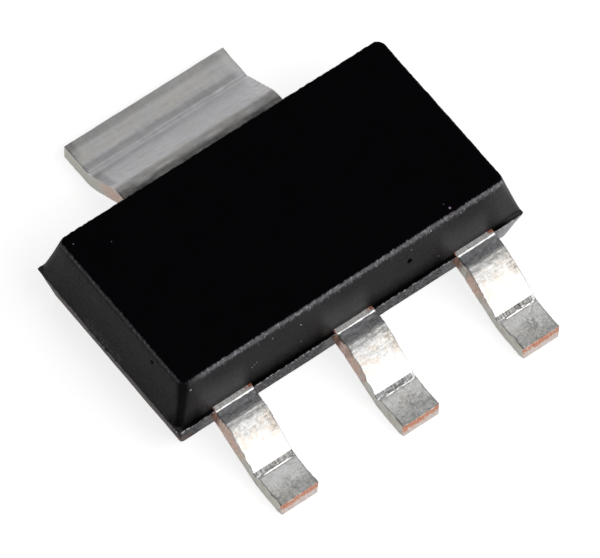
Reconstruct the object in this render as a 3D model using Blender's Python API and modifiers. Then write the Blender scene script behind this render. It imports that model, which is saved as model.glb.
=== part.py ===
"""Linear voltage regulator in a small surface-mount power package.

A black moulded body holds one stamped and formed lead frame: a wide heat tab on the +Y side that
runs through to the middle lead, and two more gull-wing leads on the -Y side. Inside lie the die,
the solder under it and the bond wires. The frame's origin is on the seat, under the package's
centre: +X along the row of leads, +Y towards the heat tab, +Z up.
"""
import math

import bmesh
import bpy
import numpy as np
from mathutils import Vector
from mathutils.geometry import interpolate_bezier

MM = 0.001

# Moulded body
BODY_LENGTH = 6.50 * MM        # upper half, along X at the parting plane
BODY_WIDTH = 3.56 * MM         # upper half, along Y at the parting plane
BODY_TOP = 1.62 * MM           # height of the top face above the seat
STANDOFF = 0.06 * MM           # gap between the body's underside and the seat
UPPER_DRAFT = math.radians(12.5)
LOWER_DRAFT = math.radians(14.5)
HALF_GROWTH = 0.035 * MM       # the lower half is wider than the upper one by this on every side
HALF_SHIFT = 0.025 * MM        # the lower mould half sits this far towards -X and -Y
UPPER_CORNER_RADIUS = 0.15 * MM   # upright corners of the upper half
LOWER_CORNER_RADIUS = 0.05 * MM   # and of the lower half
TOP_EDGE_RADIUS = 0.06 * MM
BOTTOM_EDGE_RADIUS = 0.03 * MM
CORNER_STEPS = 5
EDGE_STEPS = 3

# Scar where the mould's gate broke off, on the -X end
GATE_WIDTH = 0.92 * MM
GATE_HEIGHT = 0.36 * MM
GATE_PROUD = 0.02 * MM
GATE_OFFSET = 0.12 * MM        # from the centre towards +Y
GATE_ROOT = 0.20 * MM          # how far the scar's block reaches into the body

# Marks that the ejector pins leave in the underside
EJECTOR_DIAMETER = 0.80 * MM
EJECTOR_DEPTH = 0.03 * MM
EJECTOR_SPACING = 3.40 * MM

# Lead frame, stamped from one strip
FRAME_THICKNESS = 0.30 * MM
FRAME_TOP = 0.77 * MM          # top of the flat strip, which is also the mould's parting plane
LEAD_PITCH = 2.30 * MM
LEAD_WIDTH = 0.70 * MM
DAM_WIDTH = 0.73 * MM          # wider stretch where the dam bar was trimmed off
DAM_REACH = 0.71 * MM          # from the body's side to the end of that stretch, along the lead
LEAD_RUN = 0.31 * MM           # flat stretch between the body and a lead's bend
LEAD_FOOT = 0.58 * MM          # flat sole of a lead
TAB_WIDTH = 3.05 * MM
TAB_RUN = 0.30 * MM
TAB_FOOT = 0.59 * MM
BEND_ANGLE = math.radians(33.0)
KNEE_RADIUS = 0.10 * MM        # inner radius of the upper bend
ANKLE_RADIUS = 0.10 * MM       # inner radius of the lower bend
BEND_STEPS = 6
STAMPED_EDGE = 0.02 * MM       # rounding of the stamped edges

# Lead frame inside the body
PADDLE_WIDTH = 3.30 * MM       # die pad, along X
PADDLE_FRONT = 0.75 * MM       # from the centre to its edge towards the leads
PADDLE_BACK = 1.10 * MM        # from the centre to where it narrows into the tab
NECK_WIDTH = 0.60 * MM         # middle lead inside the body
NECK_COVER = 0.40 * MM         # moulding between a post or the neck's shoulder and the -Y side
ISLAND_GAP = 0.25 * MM         # between the die pad and a bond post
END_WALL = 0.32 * MM           # moulding between a bond post and the body's end
POST_LENGTH = 0.95 * MM        # bond post, along Y
LOCK_LENGTH = 0.60 * MM        # slots in the tab's root that the moulding fills
LOCK_WIDTH = 0.24 * MM
LOCK_SPACING = 1.70 * MM
LOCK_SETBACK = 0.24 * MM       # from the die pad's back edge to a slot's centre
POST_HOLE = 0.22 * MM          # hole in each bond post that the moulding fills
HOLE_STEPS = 12

# Chip, its solder and the bond wires
DIE_LENGTH = 2.10 * MM
DIE_WIDTH = 1.50 * MM
DIE_THICKNESS = 0.28 * MM
SOLDER_THICKNESS = 0.04 * MM
SOLDER_MARGIN = 0.05 * MM      # the solder shows this far round the chip
WIRE_DIAMETER = 0.05 * MM
BALL_DIAMETER = 0.11 * MM
BALL_HEIGHT = 0.04 * MM
WIRE_RISE = 0.20 * MM          # how high a wire loops above the chip
WIRE_POINTS = 12
WIRE_SPACING = 0.30 * MM       # between neighbouring wires
BOND_INSET = 0.20 * MM         # from the chip's edge to the bonds along it

# Clearances
MOULD_GAP = 0.010 * MM         # between the moulding and what lies inside it
SEAT_GAP = 0.005 * MM          # between pieces stacked on one another
WELD_DISTANCE = 0.00001 * MM

# Places worked out from the sizes above
BODY_HALF_LENGTH = BODY_LENGTH / 2
BODY_HALF_WIDTH = BODY_WIDTH / 2
FRAME_MIDDLE = FRAME_TOP - FRAME_THICKNESS / 2
SIDE_AT_FRAME = BODY_HALF_WIDTH + HALF_GROWTH + HALF_SHIFT
POST_INNER = PADDLE_WIDTH / 2 + ISLAND_GAP
POST_OUTER = BODY_HALF_LENGTH - END_WALL
POST_CENTRE = (POST_INNER + POST_OUTER) / 2
POST_FRONT = BODY_HALF_WIDTH - NECK_COVER
POST_BACK = POST_FRONT - POST_LENGTH
DIE_CENTRE = (PADDLE_BACK - PADDLE_FRONT) / 2
SOLDER_BOTTOM = FRAME_TOP + SEAT_GAP
DIE_BOTTOM = SOLDER_BOTTOM + SOLDER_THICKNESS + SEAT_GAP
DIE_TOP = DIE_BOTTOM + DIE_THICKNESS


def clear_scene():
    """Remove every object, so that the file starts empty."""
    for item in list(bpy.data.objects):
        bpy.data.objects.remove(item, do_unlink=True)


def new_collection(name):
    """A collection linked to the scene."""
    collection = bpy.data.collections.new(name)
    bpy.context.scene.collection.children.link(collection)
    return collection


def plain_material(name, colour, roughness, metallic):
    """A Principled BSDF with one colour."""
    material = bpy.data.materials.new(name)
    material.use_nodes = True
    shader = material.node_tree.nodes["Principled BSDF"]
    shader.inputs["Base Color"].default_value = (*colour, 1.0)
    shader.inputs["Roughness"].default_value = roughness
    shader.inputs["Metallic"].default_value = metallic
    return material


def add_object(name, mesh, collection, material=None):
    """An object of this mesh in the collection."""
    item = bpy.data.objects.new(name, mesh)
    collection.objects.link(item)
    if material is not None:
        mesh.materials.clear()
        mesh.materials.append(material)
    return item


def mark_as_cutter(item):
    """Show a cutter as wire and keep it out of the render."""
    item.hide_render = True
    item.display_type = "WIRE"
    return item


def mesh_from_bmesh(name, bm):
    """Write a bmesh into a new mesh with its faces pointing out."""
    bmesh.ops.recalc_face_normals(bm, faces=bm.faces)
    mesh = bpy.data.meshes.new(name)
    bm.to_mesh(mesh)
    bm.free()
    return mesh


def shade_round(mesh):
    """Smooth shading that keeps edges over 30 degrees sharp."""
    mesh.shade_smooth()
    mesh.set_sharp_from_angle(angle=math.radians(30.0))


def bevel_edges(item, width, segments):
    """Round the edges that turn by more than 40 degrees."""
    bevel = item.modifiers.new("rounded edges", "BEVEL")
    bevel.width = width
    bevel.segments = segments
    bevel.limit_method = "ANGLE"
    bevel.angle_limit = math.radians(40.0)
    bevel.use_clamp_overlap = True


# Moulded body


def rounded_ring(half_length, half_width, radius, shift, height):
    """Points round a rectangle with round corners, anticlockwise from the +X side."""
    turns = np.linspace(0.0, math.pi / 2, CORNER_STEPS + 1)
    ring = []
    for corner, (sign_x, sign_y) in enumerate([(1, 1), (-1, 1), (-1, -1), (1, -1)]):
        centre_x = sign_x * (half_length - radius) - shift
        centre_y = sign_y * (half_width - radius) - shift
        for turn in turns + corner * math.pi / 2:
            ring.append((centre_x + radius * math.cos(turn), centre_y + radius * math.sin(turn), height))
    return ring


def edge_profile(radius, draft):
    """Inset and depth of the points on an edge rounded between a flat face and a drafted side."""
    turns = np.linspace(0.0, math.pi / 2 - draft, EDGE_STEPS + 1)
    reach = radius * math.tan((math.pi / 2 - draft) / 2)
    insets = reach - radius * np.sin(turns)
    depths = radius * (1.0 - np.cos(turns))
    return list(zip(insets, depths))


def half_rings(growth, shift, flat, draft, corner_radius, edge_radius):
    """Rings of one mould half, from its flat face to the parting plane."""
    side = 1.0 if flat > FRAME_TOP else -1.0
    slope = math.tan(draft)
    face_inset = abs(flat - FRAME_TOP) * slope
    rings = []
    for inset, depth in edge_profile(edge_radius, draft):
        rings.append(rounded_ring(BODY_HALF_LENGTH + growth - face_inset - inset,
                                  BODY_HALF_WIDTH + growth - face_inset - inset,
                                  corner_radius - max(inset, 0.0), shift, flat - side * depth))
    rings.append(rounded_ring(BODY_HALF_LENGTH + growth, BODY_HALF_WIDTH + growth,
                              corner_radius, shift, FRAME_TOP))
    return rings


def make_body(collection, cutters, material):
    """Loft the body through its rings, add the gate scar and take out what lies inside."""
    lower = half_rings(HALF_GROWTH, HALF_SHIFT, STANDOFF, LOWER_DRAFT, LOWER_CORNER_RADIUS,
                       BOTTOM_EDGE_RADIUS)
    upper = half_rings(0.0, 0.0, BODY_TOP, UPPER_DRAFT, UPPER_CORNER_RADIUS, TOP_EDGE_RADIUS)
    rings = lower + upper[::-1]
    bm = bmesh.new()
    loops = [[bm.verts.new(point) for point in ring] for ring in rings]
    for below, above in zip(loops, loops[1:]):
        for index in range(len(below)):
            after = (index + 1) % len(below)
            bm.faces.new((below[index], below[after], above[after], above[index]))
    bm.faces.new(loops[0][::-1])
    bm.faces.new(loops[-1])
    mesh = mesh_from_bmesh("moulded_body", bm)
    shade_round(mesh)
    body = add_object("moulded_body", mesh, collection, material)

    join = body.modifiers.new("gate scar", "BOOLEAN")
    join.operation = "UNION"
    join.solver = "EXACT"
    join.object = make_gate_scar(cutters["scars"])
    for cutter in cutters["hollows"].objects:
        cut = body.modifiers.new(cutter.name, "BOOLEAN")
        cut.operation = "DIFFERENCE"
        cut.solver = "EXACT"
        cut.object = cutter
    return body


def make_gate_scar(collection):
    """A low block along the lower half's drafted -X side, where the gate broke off."""
    bpy.ops.mesh.primitive_cube_add(size=1.0)
    scar = bpy.context.active_object
    scar.name = "gate_scar"
    outer = -(BODY_HALF_LENGTH + HALF_GROWTH + HALF_SHIFT + GATE_PROUD)
    place = Vector((outer + GATE_ROOT / 2, GATE_OFFSET, FRAME_TOP - GATE_HEIGHT / 2))
    for vertex in scar.data.vertices:
        lean = (0.5 - vertex.co.z) * GATE_HEIGHT * math.tan(LOWER_DRAFT)
        vertex.co = Vector((vertex.co.x * GATE_ROOT + lean, vertex.co.y * GATE_WIDTH,
                            vertex.co.z * GATE_HEIGHT)) + place
    move_to_collection(scar, collection)
    return mark_as_cutter(scar)


def move_to_collection(item, collection):
    """Take an object that an operator made into a collection of this model."""
    for old in list(item.users_collection):
        old.objects.unlink(item)
    collection.objects.link(item)


def add_block(name, centre, size, collection, material=None):
    """A box from the cube primitive, with its size in the mesh and its place in its location."""
    bpy.ops.mesh.primitive_cube_add(size=1.0, location=centre)
    block = bpy.context.active_object
    block.name = name
    block.data.name = name
    for vertex in block.data.vertices:
        vertex.co = Vector((vertex.co.x * size[0], vertex.co.y * size[1], vertex.co.z * size[2]))
    if material is not None:
        block.data.materials.append(material)
    move_to_collection(block, collection)
    return block


def make_ejector_marks(cutters):
    """Two shallow round recesses in the underside."""
    for side in (-1, 1):
        bpy.ops.mesh.primitive_cylinder_add(vertices=32, radius=EJECTOR_DIAMETER / 2, depth=2 * EJECTOR_DEPTH,
                                            location=(side * EJECTOR_SPACING / 2, 0.0, STANDOFF))
        mark = bpy.context.active_object
        mark.name = f"ejector_mark_{'left' if side < 0 else 'right'}"
        move_to_collection(mark, cutters["hollows"])
        mark_as_cutter(mark)


# Lead frame


def stacked_outline(bands, grow):
    """Outline of bands stacked along Y, each (start, end, left edge, right edge), grown by a margin."""
    right = []
    left = []
    for index, (start, end, low, high) in enumerate(bands):
        for edge, limit, sign in ((right, high, 1.0), (left, low, -1.0)):
            first = start
            last = end
            reach = sign * limit
            if index > 0:
                before = sign * bands[index - 1][3 if sign > 0 else 2]
                first += -grow if reach > before else grow
            else:
                first -= grow
            if index < len(bands) - 1:
                after = sign * bands[index + 1][3 if sign > 0 else 2]
                last += grow if reach > after else -grow
            else:
                last += grow
            edge.append((limit + sign * grow, first))
            edge.append((limit + sign * grow, last))
    return right + left[::-1]


def slot_outline(centre_x, centre_y, length, width, shrink):
    """Outline of a slot with round ends along X, narrowed by a margin."""
    radius = width / 2 - shrink
    half_run = max(length - width, 0.0) / 2
    turns = np.linspace(-math.pi / 2, math.pi / 2, HOLE_STEPS // 2 + 1)
    right = [(centre_x + half_run + radius * math.cos(t), centre_y + radius * math.sin(t)) for t in turns]
    left = [(centre_x - half_run - radius * math.cos(t), centre_y - radius * math.sin(t)) for t in turns]
    return right + left


def stamped_blank(name, outline, thickness):
    """A flat plate: a filled 2D curve of the outline, extruded and made a mesh with one face a side."""
    curve = bpy.data.curves.new(name, "CURVE")
    curve.dimensions = "2D"
    curve.fill_mode = "BOTH"
    curve.extrude = thickness / 2
    spline = curve.splines.new("POLY")
    spline.points.add(len(outline) - 1)
    for point, (x, y) in zip(spline.points, outline):
        point.co = (x, y, 0.0, 1.0)
    spline.use_cyclic_u = True
    guide = bpy.data.objects.new(name, curve)
    bpy.context.scene.collection.objects.link(guide)
    bpy.context.view_layer.update()
    evaluated = guide.evaluated_get(bpy.context.evaluated_depsgraph_get())
    mesh = bpy.data.meshes.new_from_object(evaluated)
    bpy.data.objects.remove(guide, do_unlink=True)
    bm = bmesh.new()
    bm.from_mesh(mesh)
    bpy.data.meshes.remove(mesh)
    bmesh.ops.remove_doubles(bm, verts=bm.verts, dist=WELD_DISTANCE)
    flat = {face for face in bm.faces if len({vertex.co.z > 0.0 for vertex in face.verts}) == 1}
    inner = [edge for edge in bm.edges if all(face in flat for face in edge.link_faces)]
    bmesh.ops.dissolve_edges(bm, edges=inner, use_verts=False, use_face_split=False)
    return bm


def bend_lengths(drop):
    """Lengths along the middle of the strip: knee arc, slope and ankle arc."""
    knee = KNEE_RADIUS + FRAME_THICKNESS / 2
    ankle = ANKLE_RADIUS + FRAME_THICKNESS / 2
    slope = (drop - (knee + ankle) * (1.0 - math.cos(BEND_ANGLE))) / math.sin(BEND_ANGLE)
    return knee * BEND_ANGLE, slope, ankle * BEND_ANGLE


def formed_length(foot):
    """Strip length from the start of the knee to the toe."""
    return sum(bend_lengths(FRAME_TOP - FRAME_THICKNESS)) + foot


def cut_for_bends(bm, side, start):
    """Divide the blank across the knee and the ankle, so that it can be formed."""
    knee, slope, ankle = bend_lengths(FRAME_TOP - FRAME_THICKNESS)
    places = [start + knee * step / BEND_STEPS for step in range(BEND_STEPS + 1)]
    places += [start + knee + slope + ankle * step / BEND_STEPS for step in range(BEND_STEPS + 1)]
    for place in places:
        geometry = bm.verts[:] + bm.edges[:] + bm.faces[:]
        bmesh.ops.bisect_plane(bm, geom=geometry, dist=WELD_DISTANCE, plane_co=(0.0, side * place, 0.0),
                               plane_no=(0.0, 1.0, 0.0))


def form_gull_wing(mesh, side, start):
    """Bend the flat blank: over the knee, down the slope, round the ankle and out along the sole."""
    points = np.empty(len(mesh.vertices) * 3)
    mesh.vertices.foreach_get("co", points)
    points = points.reshape(-1, 3)
    knee_length, slope_length, ankle_length = bend_lengths(FRAME_TOP - FRAME_THICKNESS)
    knee = KNEE_RADIUS + FRAME_THICKNESS / 2
    ankle = ANKLE_RADIUS + FRAME_THICKNESS / 2
    along = side * points[:, 1] - start
    above = points[:, 2].copy()
    sine = math.sin(BEND_ANGLE)
    cosine = math.cos(BEND_ANGLE)

    turn = np.clip(along / knee, 0.0, BEND_ANGLE)
    reach = (knee + above) * np.sin(turn)
    height = (knee + above) * np.cos(turn) - knee
    down = np.clip(along - knee_length, 0.0, slope_length)
    reach += down * cosine
    height -= down * sine

    back = np.clip((along - knee_length - slope_length) / ankle, 0.0, BEND_ANGLE)
    on_ankle = back > 0.0
    centre_reach = knee * sine + slope_length * cosine + ankle * sine
    centre_height = knee * cosine - knee - slope_length * sine + ankle * cosine
    reach = np.where(on_ankle, centre_reach - (ankle - above) * np.sin(BEND_ANGLE - back), reach)
    height = np.where(on_ankle, centre_height - (ankle - above) * np.cos(BEND_ANGLE - back), height)
    reach += np.clip(along - knee_length - slope_length - ankle_length, 0.0, None)
    reach += np.minimum(along, 0.0)

    outside = along > 0.0
    points[:, 1] = np.where(outside, side * (start + reach), points[:, 1])
    points[:, 2] = np.where(outside, height, above)
    mesh.vertices.foreach_set("co", points.ravel())
    mesh.update()


def lead_bands(centre, end, wall):
    """Bands of one lead from its toe to the inside of the body's side, in flat lengths."""
    shoulder = -(wall + DAM_REACH)
    return [(-end, shoulder, centre - LEAD_WIDTH / 2, centre + LEAD_WIDTH / 2),
            (shoulder, -POST_FRONT, centre - DAM_WIDTH / 2, centre + DAM_WIDTH / 2)]


def post_bands(centre, side, end):
    """A side lead with its bond post inside the body."""
    low, high = sorted((side * POST_INNER, side * POST_OUTER))
    return lead_bands(centre, end, BODY_HALF_WIDTH) + [(-POST_FRONT, -POST_BACK, low, high)]


def tab_bands(lead_end, tab_end):
    """The middle lead, its neck, the die pad and the heat tab, all one stamping."""
    return lead_bands(0.0, lead_end, BODY_HALF_WIDTH) + [
        (-POST_FRONT, -PADDLE_FRONT, -NECK_WIDTH / 2, NECK_WIDTH / 2),
        (-PADDLE_FRONT, PADDLE_BACK, -PADDLE_WIDTH / 2, PADDLE_WIDTH / 2),
        (PADDLE_BACK, tab_end, -TAB_WIDTH / 2, TAB_WIDTH / 2)]


def post_hole(side):
    """Centre and size of the lock hole in a bond post, near the body's end."""
    return side * (POST_OUTER - POST_HOLE), -POST_BACK - POST_HOLE, POST_HOLE, POST_HOLE


def tab_slot(side):
    """Centre and size of a lock slot in the tab's root."""
    return side * LOCK_SPACING / 2, PADDLE_BACK + LOCK_SETBACK, LOCK_LENGTH, LOCK_WIDTH


def cut_slots(plate, slots, shrink, cutters):
    """Cut slots through a plate, narrowed by a margin."""
    for index, slot in enumerate(slots):
        name = f"{plate.name}_slot_{index + 1}"
        bm = stamped_blank(name, slot_outline(*slot, shrink), 2 * FRAME_THICKNESS)
        plug = add_object(name, mesh_from_bmesh(name, bm), cutters["slots"])
        plug.location.z = FRAME_MIDDLE
        mark_as_cutter(plug)
        cut = plate.modifiers.new(name, "BOOLEAN")
        cut.operation = "DIFFERENCE"
        cut.solver = "EXACT"
        cut.object = plug


def make_frame_piece(name, bands, slots, bends, collection, cutters, material):
    """Stamp a piece, form each end that has a bend, and cut its lock slots."""
    bm = stamped_blank(name, stacked_outline(bands, 0.0), FRAME_THICKNESS)
    for side, start in bends:
        cut_for_bends(bm, side, start)
    mesh = mesh_from_bmesh(name, bm)
    for side, start in bends:
        form_gull_wing(mesh, side, start)
    shade_round(mesh)
    piece = add_object(name, mesh, collection, material)
    piece.location.z = FRAME_MIDDLE
    cut_slots(piece, slots, 0.0, cutters)
    bevel_edges(piece, STAMPED_EDGE, 1)
    return piece


def make_frame_hollow(name, bands, slots, cutters):
    """The hollow that the flat part of a frame piece leaves in the moulding."""
    limit = SIDE_AT_FRAME + LEAD_RUN / 2
    bm = stamped_blank(name, stacked_outline(trim_bands(bands, limit), MOULD_GAP),
                       FRAME_THICKNESS + 2 * MOULD_GAP)
    hollow = add_object(name, mesh_from_bmesh(name, bm), cutters["hollows"])
    hollow.location.z = FRAME_MIDDLE
    cut_slots(hollow, slots, MOULD_GAP, cutters)
    mark_as_cutter(hollow)


def make_lead_frame(collection, cutters, material):
    """The tab piece and the two side leads, with the hollows that they leave."""
    lead_start = BODY_HALF_WIDTH + LEAD_RUN
    tab_start = BODY_HALF_WIDTH + TAB_RUN
    lead_end = lead_start + formed_length(LEAD_FOOT)
    tab_end = tab_start + formed_length(TAB_FOOT)
    pieces = [("heat_tab_frame", tab_bands(lead_end, tab_end), [tab_slot(-1), tab_slot(1)],
               [(-1, lead_start), (1, tab_start)])]
    for side, name in ((-1, "ground_lead"), (1, "input_lead")):
        pieces.append((name, post_bands(side * LEAD_PITCH, side, lead_end), [post_hole(side)],
                       [(-1, lead_start)]))
    for name, bands, slots, bends in pieces:
        make_frame_piece(name, bands, slots, bends, collection, cutters, material)
        make_frame_hollow(name + "_hollow", bands, slots, cutters)


def trim_bands(bands, limit):
    """The bands between -limit and limit along Y."""
    kept = []
    for start, end, low, high in bands:
        start = max(start, -limit)
        end = min(end, limit)
        if end > start:
            kept.append((start, end, low, high))
    return kept


# Chip, solder and wires


def make_chip(collection, cutters, silicon, solder):
    """The die on its layer of solder, each with the hollow that it leaves in the moulding."""
    solder_size = (DIE_LENGTH + 2 * SOLDER_MARGIN, DIE_WIDTH + 2 * SOLDER_MARGIN, SOLDER_THICKNESS)
    solder_centre = (0.0, DIE_CENTRE, SOLDER_BOTTOM + SOLDER_THICKNESS / 2)
    die_size = (DIE_LENGTH, DIE_WIDTH, DIE_THICKNESS)
    die_centre = (0.0, DIE_CENTRE, DIE_BOTTOM + DIE_THICKNESS / 2)
    add_block("die_solder", solder_centre, solder_size, collection, solder)
    add_block("silicon_die", die_centre, die_size, collection, silicon)
    for name, centre, size in (("die_solder_hollow", solder_centre, solder_size),
                               ("silicon_die_hollow", die_centre, die_size)):
        grown = [extent + 2 * MOULD_GAP for extent in size]
        mark_as_cutter(add_block(name, centre, grown, cutters["hollows"]))


def wire_path(start, end):
    """A loop that leaves the chip straight up and comes down to the post at a slant."""
    start = Vector(start)
    end = Vector(end)
    run = end - start
    run.z = 0.0
    lift = Vector((0.0, 0.0, WIRE_RISE * 1.5))
    return interpolate_bezier(start, start + lift, end - run * 0.5 + lift, end, WIRE_POINTS)


def make_wire(name, start, end, margin, collection, material=None):
    """A round wire along its loop: a ball on the chip and a pressed tail on the post."""
    path = wire_path(start, end)
    ball_steps = [point for point in path[1:] if (point - path[0]).length < BALL_HEIGHT]
    curve = bpy.data.curves.new(name, "CURVE")
    curve.dimensions = "3D"
    curve.bevel_depth = WIRE_DIAMETER / 2 + margin
    curve.bevel_resolution = 2
    curve.use_fill_caps = True
    rise = Vector((0.0, 0.0, BALL_HEIGHT))
    points = [path[0], path[0] + rise] + [point for point in path[1:] if point not in ball_steps]
    ball = (BALL_DIAMETER / 2 + margin) / curve.bevel_depth
    widths = [ball, ball * 0.8] + [1.0] * (len(points) - 2)
    spline = curve.splines.new("POLY")
    spline.points.add(len(points) - 1)
    for point, place, width in zip(spline.points, points, widths):
        point.co = (*place, 1.0)
        point.radius = width
    item = bpy.data.objects.new(name, curve)
    bpy.context.scene.collection.objects.link(item)
    bpy.context.view_layer.update()
    mesh = bpy.data.meshes.new_from_object(item.evaluated_get(bpy.context.evaluated_depsgraph_get()))
    bm = bmesh.new()
    bm.from_mesh(mesh)
    bpy.data.meshes.remove(mesh)
    bpy.data.objects.remove(item, do_unlink=True)
    bmesh.ops.remove_doubles(bm, verts=bm.verts, dist=WELD_DISTANCE)
    mesh = mesh_from_bmesh(name, bm)
    shade_round(mesh)
    return add_object(name, mesh, collection, material)


def bond_places():
    """Where each wire starts on the chip and ends on the frame, by name."""
    chip_x = DIE_LENGTH / 2 - BOND_INSET
    chip_front = DIE_CENTRE - DIE_WIDTH / 2 + BOND_INSET
    post_y = -(POST_FRONT + POST_BACK) / 2
    neck_y = -(POST_FRONT + PADDLE_FRONT) / 2
    half = WIRE_SPACING / 2
    return {
        "ground_wire": ((-chip_x, chip_front), (-POST_CENTRE, post_y)),
        "input_wire_1": ((chip_x, chip_front), (POST_CENTRE - half, post_y)),
        "input_wire_2": ((chip_x, chip_front + WIRE_SPACING), (POST_CENTRE + half, post_y)),
        "output_wire_1": ((-half, chip_front), (-half, neck_y)),
        "output_wire_2": ((half, chip_front), (half, neck_y)),
    }


def make_wires(collection, cutters, material):
    """Five bond wires and the fine tunnels that they leave in the moulding."""
    foot = FRAME_TOP + SEAT_GAP + WIRE_DIAMETER / 2
    for name, (chip, post) in bond_places().items():
        start = (*chip, DIE_TOP + SEAT_GAP)
        end = (*post, foot)
        make_wire(name, start, end, 0.0, collection, material)
        mark_as_cutter(make_wire(name + "_hollow", start, end, MOULD_GAP, cutters["hollows"]))


def main():
    """Build the regulator."""
    clear_scene()
    parts = new_collection("linear_voltage_regulator")
    cutters = {name: new_collection(f"cutters_{name}") for name in ("hollows", "slots", "scars")}
    epoxy = plain_material("black_moulding", (0.018, 0.018, 0.021), 0.55, 0.0)
    tinned = plain_material("tinned_copper", (0.60, 0.60, 0.58), 0.38, 1.0)
    silicon = plain_material("silicon", (0.20, 0.20, 0.24), 0.20, 0.6)
    solder = plain_material("solder", (0.50, 0.50, 0.50), 0.45, 1.0)
    gold = plain_material("bond_wire_metal", (0.72, 0.45, 0.30), 0.30, 1.0)
    make_lead_frame(parts, cutters, tinned)
    make_chip(parts, cutters, silicon, solder)
    make_wires(parts, cutters, gold)
    make_ejector_marks(cutters)
    make_body(parts, cutters, epoxy)


main()
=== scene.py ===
"""Looks of a linear voltage regulator in a small surface-mount power package.

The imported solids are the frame. The moulded body and the three pieces of the lead frame are replaced
by finer surfaces of the same form. The chip, its solder and its bond wires keep their solids and get
a finish of their own. Sizes are in millimetres until a mesh is made.
"""
import math
from itertools import product

import bmesh
import bpy
import numpy as np
from mathutils import Matrix, Vector


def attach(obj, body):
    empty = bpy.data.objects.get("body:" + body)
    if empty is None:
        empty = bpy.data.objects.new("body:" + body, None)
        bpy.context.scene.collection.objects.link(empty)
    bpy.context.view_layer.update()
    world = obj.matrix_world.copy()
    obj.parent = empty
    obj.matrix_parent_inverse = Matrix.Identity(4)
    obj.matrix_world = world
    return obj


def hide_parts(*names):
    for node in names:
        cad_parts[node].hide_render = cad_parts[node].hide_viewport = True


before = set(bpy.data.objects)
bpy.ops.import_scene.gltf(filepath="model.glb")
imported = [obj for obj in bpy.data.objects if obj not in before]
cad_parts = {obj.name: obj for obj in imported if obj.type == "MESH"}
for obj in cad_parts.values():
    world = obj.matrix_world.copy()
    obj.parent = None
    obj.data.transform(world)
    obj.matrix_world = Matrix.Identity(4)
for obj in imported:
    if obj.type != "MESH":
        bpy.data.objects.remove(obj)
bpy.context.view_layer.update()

# Heat tab with the die pad and the middle lead, and the ground and input leads.
# Three pieces stamped from one copper strip, formed into gull wings and plated with matt tin once
# the body is moulded round them. The sheared sides and ends show bare copper.
MM = 0.001
BODY_SIDE = 1.78
STRIP_TOP = 0.77
STRIP_THICK = 0.30
LEAD_PITCH = 2.30
LEAD_BEND = 2.09
TAB_BEND = 2.08
LEAD_SOLE = 0.58
TAB_SOLE = 0.59
BEND = math.radians(33.0)
ARC = 0.10 + STRIP_THICK / 2
SLOPE = (STRIP_TOP - STRIP_THICK - 2 * ARC * (1 - math.cos(BEND))) / math.sin(BEND)
FORMED = 2 * ARC * BEND + SLOPE
STRIP_LEVELS = 14
WELD = 0.00002


class Value:
    """A number that varies over a surface. Arithmetic on it adds Math nodes to its tree."""

    def __init__(self, nodes, socket):
        self.nodes = nodes
        self.socket = socket

    def maths(self, operation, first, second):
        return self.nodes.node("ShaderNodeMath", {"operation": operation}, {0: first, 1: second})

    def __add__(self, other):
        return self.maths("ADD", self, other)

    def __sub__(self, other):
        return self.maths("SUBTRACT", self, other)

    def __rsub__(self, other):
        return self.maths("SUBTRACT", other, self)

    def __mul__(self, other):
        return self.maths("MULTIPLY", self, other)

    __radd__ = __add__
    __rmul__ = __mul__

    def rise(self, low, high):
        """0 below low, 1 above high, with a smooth step between."""
        return self.nodes.node("ShaderNodeMapRange", {"interpolation_type": "SMOOTHSTEP"},
                               {"Value": self, "From Min": low, "From Max": high})

    def fall(self, low, high):
        """1 below low, 0 above high, with a smooth step between."""
        return 1.0 - self.rise(low, high)

    def band(self, low, high, soft):
        """1 from low to high, with soft borders outside them."""
        return self.rise(low - soft, low) * self.fall(high, high + soft)


class Nodes:
    """A node tree. Its node method adds every node."""

    def __init__(self, tree):
        self.tree = tree

    def node(self, kind, settings, inputs, output=0):
        """Add a node: its settings first, then the value or the link of each socket."""
        made = self.tree.nodes.new(kind)
        for setting, value in settings.items():
            setattr(made, setting, value)
        for key, value in inputs.items():
            self.feed(made.inputs[key], value)
        return Value(self, made.outputs[output])

    def feed(self, socket, value):
        if isinstance(value, Value):
            self.tree.links.new(value.socket, socket)
        else:
            socket.default_value = value


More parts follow.
